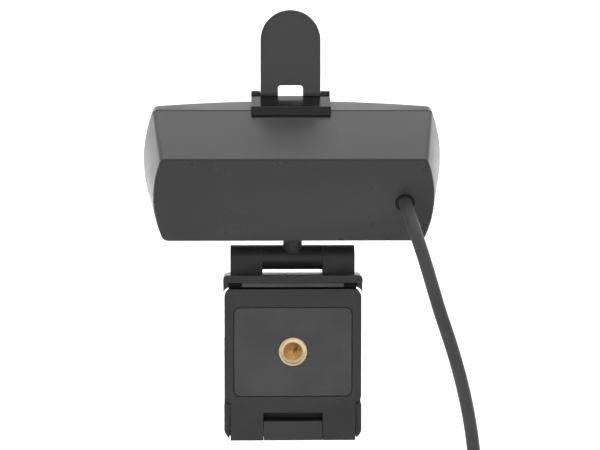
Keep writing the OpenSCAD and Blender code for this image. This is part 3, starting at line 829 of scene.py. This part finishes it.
def make_front_panel():
    outlines = [box_outline(-36.5, BODY_MID - 12.5, 36.5, BODY_MID + 12.5, 3.9)]
    outlines.append(circle(0, LENS_Z, 7.08, 64))
    outlines.append(circle(LED_X, LENS_Z, 0.86, 20))
    outlines += [circle(side * MIC_X, LENS_Z, 0.5, 16) for side in (-1, 1)]
    mesh = bent(plate(outlines, RIM_Y - 1.15, RIM_Y - 0.12, 0.2), SEAM_Y)
    return piece("front_panel_glass", mesh, "camera", ["front_panel"], PANEL, IN_CAMERA)


def make_lens():
    """Trim ring, stepped barrel and the domed front lens."""
    front = FRONT_Y + 0.28
    seat = FRONT_Y - 2.4
    ring = [
        (4.7, 12.6), (7, 12.6), (7, front - 0.3), (6.9, front - 0.1), (6.7, front),
        (6.0, front), (5.8, front - 0.1),
    ]
    for k in range(5):
        r, y = 5.7 - 0.18 * k, front - 0.22 - 0.2 * k
        ring += [(r, y), (r - 0.1, y - 0.02)]
    ring += [(4.72, front - 1.4)]
    piece("lens_trim", lathe(ring, steps=96), "camera", ["lens_ring"], RING, AT_LENS)
    tip = FRONT_Y - 0.62
    barrel = [
        (2.7, 8.05), (4.5, 8.05), (4.5, tip - 0.38), (4.35, tip - 0.08), (4.2, tip), (3.75, tip),
    ]
    for k in range(4):
        barrel += [(3.72, tip - 0.18 - 0.2 * k), (3.66, tip - 0.26 - 0.2 * k)]
    barrel += [(3.66, seat + 0.05), (2.7, seat + 0.05)]
    tube = lathe(barrel, steps=96)
    piece("lens_tube", tube, "camera", ["lens_barrel"], BLACK, AT_LENS)
    dome = [(3.58, seat + 0.08), (3.6, seat + 0.15), (3.6, seat + 0.5)]
    dome += [
        (3.6 * (1 - i / 10), seat + 0.5 + 0.85 * (1 - (1 - i / 10) ** 2)) for i in range(1, 10)
    ]
    dome = lathe(dome, steps=96, closed=False)
    piece("lens_dome", dome, "camera", ["front_lens"], GLASS, AT_LENS)


def make_grommet():
    profile = [
        (1.74, 0), (1.9, 0), (2.18, 0.02), (2.28, 0.14), (2.28, 1.6),
        (2.28, 1.62), (3, 1.64), (3, 2.5), (1.74, 2.5),
    ]
    ring = lathe(profile)
    return piece("cable_gland", ring, "camera", ["cable_grommet"], GLAND, AT_GLAND)


make_rear_shell()
make_front_cap()
make_front_panel()
make_lens()
make_grommet()

# ---------- privacy flap and its bracket ----------


def make_flap():
    round_z = FLAP_L - FLAP_W / 2
    half = FLAP_W / 2
    outline = arc(0, round_z, half, 0, 180, 32)
    outline += [Vector((-half, 0.15))]
    outline += [Vector((-HOLE_HALF, 0.15))]
    outline += arc(-HOLE_HALF + 0.8, HOLE_TOP - 0.8, 0.8, 180, 90, 5)
    outline += arc(HOLE_HALF - 0.8, HOLE_TOP - 0.8, 0.8, 90, 0, 5)
    outline += [Vector((HOLE_HALF, 0.15)), Vector((half, 0.15))]
    leaf = plate([outline], -1.45, -0.35, 0.22, dish=(0, round_z - 0.25, 7.7, 0.3))
    leg = half - HOLE_HALF
    legs = [
        moved(rod(HINGE_R, leg / 2 - 0.01, edge=0.06), side * (HOLE_HALF + leg / 2))
        for side in (-1, 1)
    ]
    pins = [moved(rod(0.6, 1, edge=0.1, steps=24), side * (half + 0.85)) for side in (-1, 1)]
    mesh = combine(leaf, "UNION", *legs, *pins)
    return piece("lens_flap", mesh, "flap", ["privacy_flap"], FLAP, AT_FLAP, sharp=12)


def make_bracket():
    half = 10.75
    top, tape, foot = 1.8, 0.4, 3.2
    throat = AXIS_Y - HINGE_R - 0.25
    section = rounded([
        (-foot, tape - foot * DRAFT, 0.1), (0, tape, 0), (throat, tape, 0.1),
        (throat, top, 0.15), (-1.5, top, 0.3),
    ])
    block = plate([section], -half, half, 0.12, "x")
    plan = rounded([
        (-half - 1, 8, 0), (-half, -foot - 0.1, 1.1), (half, -foot - 0.1, 1.1), (half + 1, 8, 0),
    ])
    block = combine(block, "INTERSECT", plate([plan], -2, 4, 0.01, "z"))
    ear_len = half - FLAP_W / 2 - 0.08
    parts = []
    for side in (-1, 1):
        x = side * (half - ear_len / 2)
        parts.append(moved(rod(HINGE_R, ear_len / 2, edge=0.06), x, AXIS_Y, AXIS_Z))
        web = box_outline(throat - 1, 0.8, AXIS_Y, 1.75, 0.1)
        parts.append(moved(plate([web], -ear_len / 2, ear_len / 2, 0.08, "x"), x))
    mesh = combine(block, "UNION", *parts)
    bore = moved(rod(0.66, half - 0.4, edge=0.02, steps=24), 0, AXIS_Y, AXIS_Z)
    mesh = combine(mesh, "DIFFERENCE", bore)
    return piece("flap_bracket", mesh, "camera", ["flap_mount"], BRACKET, AT_MOUNT)


make_flap()
make_bracket()

# ---------- stem ----------


def make_stem():
    barrel = rod(BARREL_R, KNUCKLE, edge=0.04, steps=64)
    post = lathe(
        [
            (2.5, 0), (2.7, 2.6), (2.68, 3.4), (2.6, 4.2), (2.6, 8.1), (2.5, 8.25),
            (2.2, 8.26), (2.2, 11.9),
        ],
        "z", closed=False,
    )
    mesh = combine(barrel, "UNION", post)
    bore = rod(1.3, KNUCKLE + 1, edge=0.01)
    mesh = combine(mesh, "DIFFERENCE", bore)
    return piece("stem_knuckle", mesh, "stem", ["swivel_stem"], CLIP, IN_CAMERA)


make_stem()

# ---------- clip arm ----------


def mirrored(right):
    """Closed outline from its right half, given from the top down."""
    return right + [Vector((-p.x, p.y)) for p in reversed(right)]


def ends(side, inner, outer):
    """Low and high X of a feature on one side."""
    return sorted((side * inner, side * outer))


def make_arm():
    back = ARM_Y + ARM_T
    head_half, head_low = LIP_HALF - 1.35, FOOT_TOP - 1.1
    r = ARM_CORNER
    corner_x, corner_z = ARM_HALF - r, FOOT_BOTTOM + r
    meet = math.degrees(math.acos((ARM_WAIST - corner_x) / r))
    outline = [
        Vector((head_half, LIP_TOP - 1)), Vector((head_half, head_low)),
        Vector((ARM_WAIST, head_low)),
    ]
    outline += arc(corner_x, r, r, meet, 0, 8) + arc(corner_x, corner_z, r, 0, -90, 8)
    sheet = plate([mirrored(outline)], ARM_Y, back, 0.2)
    lip_outline = rounded([
        (-LIP_HALF, LIP_TOP - 2, 0.1), (LIP_HALF, LIP_TOP - 2, 0.1),
        (LIP_HALF, LIP_TOP, 1.1), (-LIP_HALF, LIP_TOP, 1.1),
    ])
    lip = plate([lip_outline], -0.8, back - 0.01, 0.25)
    parts = [lip]
    for side in (-1, 1):
        x0, x1 = ends(side, LIP_HALF - 1.45, LIP_HALF)
        cheek = plate([box_outline(x0, FOOT_TOP - 2, x1, LIP_TOP - 1.5, 0.05)], 1, back - 0.02, 0.04)
        round_foot = circle(
            side * (FOOT_HALF - FOOT_CORNER), FOOT_TOP - FOOT_CORNER, FOOT_CORNER + 0.65, 64
        )
        parts.append(combine(cheek, "DIFFERENCE", plate([round_foot], 0, 11, 0.01)))
        low = [Vector((HEEL_CHEEK, HEEL_CHEEK_TOP)), Vector((ARM_HALF, HEEL_CHEEK_TOP))]
        low += arc(corner_x, corner_z, r, 0, -58.9, 8)
        low = [Vector((side * p.x, p.y)) for p in low]
        parts.append(plate([low], 1.5, back - 0.03, 0.08))
    ear_section = arc(TILT_Y, TILT_Z, BARREL_R, 0, 180, 32) + [
        Vector((TILT_Y - BARREL_R, LIP_TOP - 1)), Vector((TILT_Y + BARREL_R, LIP_TOP - 1)),
    ]
    for side in (-1, 1):
        parts.append(plate([ear_section], *ends(side, EAR_IN, EAR_OUT), 0.05, "x"))
    block = rounded([
        (0.05, FOOT_BOTTOM, 0.15), (BLOCK_BACK, FOOT_BOTTOM, 0.2),
        (BLOCK_BACK, BLOCK_TOP, 0.1), (0.05, BLOCK_TOP, 0.3),
    ])
    parts.append(plate([block], -BLOCK_HALF, BLOCK_HALF, 0.04, "x"))
    tilt = moved(rod(1.26, EAR_OUT + 1, edge=0.01), 0, TILT_Y, TILT_Z)
    pin = moved(rod(1.05, 9, edge=0.01), 0, HINGE_Y, HINGE_Z)
    mesh = combine(combine(sheet, "UNION", *parts), "DIFFERENCE", tilt, pin)
    return piece("clip_front_arm", mesh, "arm", ["clip_arm"], CLIP)


def make_lip_pad():
    mesh = plate([box_outline(-13.8, -0.7, 13.8, 5.45, 0.3)], 17.72, 18.88, 0.25, "z")
    return piece("lip_strip", mesh, "arm", ["lip_pad"], PAD)


def make_tilt_pin():
    mesh = moved(rod(1.25, EAR_OUT - 0.3, edge=0.25), 0, TILT_Y, TILT_Z)
    return piece("tilt_pin_rod", mesh, "arm", ["tilt_pin"], STEEL)


make_arm()
make_lip_pad()
make_tilt_pin()

# ---------- foot ----------


def make_foot():
    r = FOOT_CORNER
    upper = arc(FOOT_HALF - r, FOOT_TOP - r, r, 90, 0, 10)
    lower = arc(FOOT_HALF - r, FOOT_SHOULDER + r, r, 0, -72.3, 8)
    heel = rounded([
        (HEEL_HALF, -13, 0), (HEEL_HALF, FOOT_BOTTOM, 0.15), (FORK, FOOT_BOTTOM, 0.05),
        (FORK, FORK_TOP, 0.15), (0, FORK_TOP, 0),
    ])
    right = upper + lower + heel[1:-1]
    mesh = plate([mirrored(right)], 0, FOOT_T, 0.12)
    knuckle = arc(HINGE_Y, HINGE_Z, HINGE_Z - FOOT_BOTTOM, -90, 0, 10)
    knuckle += [Vector((6, HINGE_Z)), Vector((6, -25)), Vector((HINGE_Y, -25))]
    corner = plate([knuckle], -20, 20, 0.01, "x")
    recess = plate(
        [box_outline(-PAD_HALF, PAD_BOTTOM, PAD_HALF, PAD_TOP, 1.8)], -1, 1, 0.01,
        wall=[(-1, -0.3), (0, -0.12), (0.12, 0), (1, 0)],
    )
    nut = moved(rod(3.5, 4, "y", edge=0.01, steps=64), 0, 3, 0)
    pin = moved(rod(1.0, 18, edge=0.01), 0, HINGE_Y, HINGE_Z)
    mesh = combine(mesh, "DIFFERENCE", corner, recess, nut, pin)
    return piece("foot_body", mesh, "foot", ["foot_plate"], CLIP)


def make_pad():
    gap = 0.14
    outline = box_outline(-PAD_HALF + gap, PAD_BOTTOM + gap, PAD_HALF - gap, PAD_TOP - gap, 1.7)
    mesh = plate([outline, circle(0, 0, 4.02, 64)], 0, 0.98, 0.16)
    return piece("foot_soft_pad", mesh, "foot", ["foot_pad"], PAD)


def make_nut():
    """Brass insert with a quarter-inch thread, 20 turns to the inch, above a blind end."""
    minor, major, pitch, depth = 2.6, 3.17, 1.27, 2.9

    def thread(y):
        fade = min(1, (depth - y) / 0.5)

        def radius(a):
            t = (y / pitch - a / (2 * math.pi)) % 1
            ridge = max(0, min(1, 2.4 * (1 - abs(2 * t - 1)) - 0.45))
            return minor + (major - minor) * ridge * fade
        return radius

    profile = [
        (3.5, 4.7), (3.5, 0.9), (3.95, 0.9), (3.95, 0.12), (3.83, 0), (3.42, 0), (3.28, 0.1),
    ]
    start, rows = 0.22, 40
    heights = [start + (depth - start) * i / rows for i in range(rows + 1)]
    profile += [(thread(y), y) for y in heights]
    profile += [(2.5, 3.0), (0.05, 4.62)]
    mesh = lathe(profile, steps=72, closed=False)
    return piece("thread_insert", mesh, "foot", ["tripod_nut"], BRASS, sharp=30)


def make_foot_pin():
    mesh = moved(rod(0.99, HEEL_HALF - 0.2, edge=0.2), 0, HINGE_Y, HINGE_Z)
    return piece("foot_pin_rod", mesh, "foot", ["foot_pin"], STEEL)


make_foot()
make_pad()
make_nut()
make_foot_pin()

# ---------- finishes of the CAD pieces that stay ----------

FINISHES = {
    "rear_lens": GLASS, "ir_filter": FILTER, "lens_holder": BLACK, "image_sensor": PANEL,
    "main_board": BOARD, "camera_processor": BLACK, "microphones": NICKEL,
    "status_led": LED, "led_pipe": PIPE, "board_screws": STEEL, "shell_screws": STEEL,
    "usb_header": NYLON, "lead_plug": NYLON, "inner_lead": JACKET,
    "flap_mount_tape": GLAND, "swivel_washer": BLACK, "swivel_screw": STEEL,
}
for node, material in FINISHES.items():
    mesh = frame["nodes"][node].data
    mesh.materials.clear()
    mesh.materials.append(material)

# ---------- floor and light ----------


def make_stage():
    """A pale floor that curves up into a wall behind the webcam."""
    low = cad_box[0].z - 0.004
    bm = bmesh.new()
    profile = [(-3.0, low), (0.9, low)]
    profile += [
        (0.9 + 0.6 * math.sin(a), low + 0.6 * (1 - math.cos(a)))
        for a in [math.pi / 2 * i / 16 for i in range(1, 17)]
    ]
    profile += [(1.5, 3.2)]
    rows = [[bm.verts.new((x, y, z)) for x in (-4, 4)] for y, z in profile]
    for a, b in zip(rows, rows[1:]):
        bm.faces.new((a[0], a[1], b[1], b[0])).smooth = True
    mesh = bpy.data.meshes.new("floor")
    bm.to_mesh(mesh)
    bm.free()
    look = Look("floor_white")
    look.set(Base_Color=(0.93, 0.93, 0.93, 1), Roughness=0.9, Specular_IOR_Level=0.1)
    mesh.materials.append(look.material)
    floor = bpy.data.objects.new("floor", mesh)
    bpy.context.scene.collection.objects.link(floor)


def area_light(name, place, aim, size, power):
    data = bpy.data.lights.new(name, "AREA")
    data.shape = "RECTANGLE"
    data.size, data.size_y = size
    data.energy = power
    light = bpy.data.objects.new(name, data)
    bpy.context.scene.collection.objects.link(light)
    light.location = place
    light.rotation_euler = (Vector(aim) - Vector(place)).to_track_quat("-Z", "Y").to_euler()


def make_light():
    world = bpy.data.worlds.new("studio")
    world.use_nodes = True
    back = world.node_tree.nodes["Background"]
    back.inputs["Color"].default_value = (1, 1, 1, 1)
    back.inputs["Strength"].default_value = 0.56
    bpy.context.scene.world = world
    middle = (0, 0, 0.03)
    area_light("overhead", (0, 0.15, 1.1), middle, (1.5, 1.0), 5)
    area_light("left", (-1.1, 0.35, 0.25), middle, (0.8, 0.8), 0.6)
    area_light("right", (1.1, 0.35, 0.25), middle, (0.8, 0.8), 0.6)
    area_light("wall_wash", (0, 0.6, 1.1), (0, 1.5, 0.75), (2.5, 0.5), 27)
    bpy.context.scene.view_settings.view_transform = "Standard"


make_stage()
make_light()
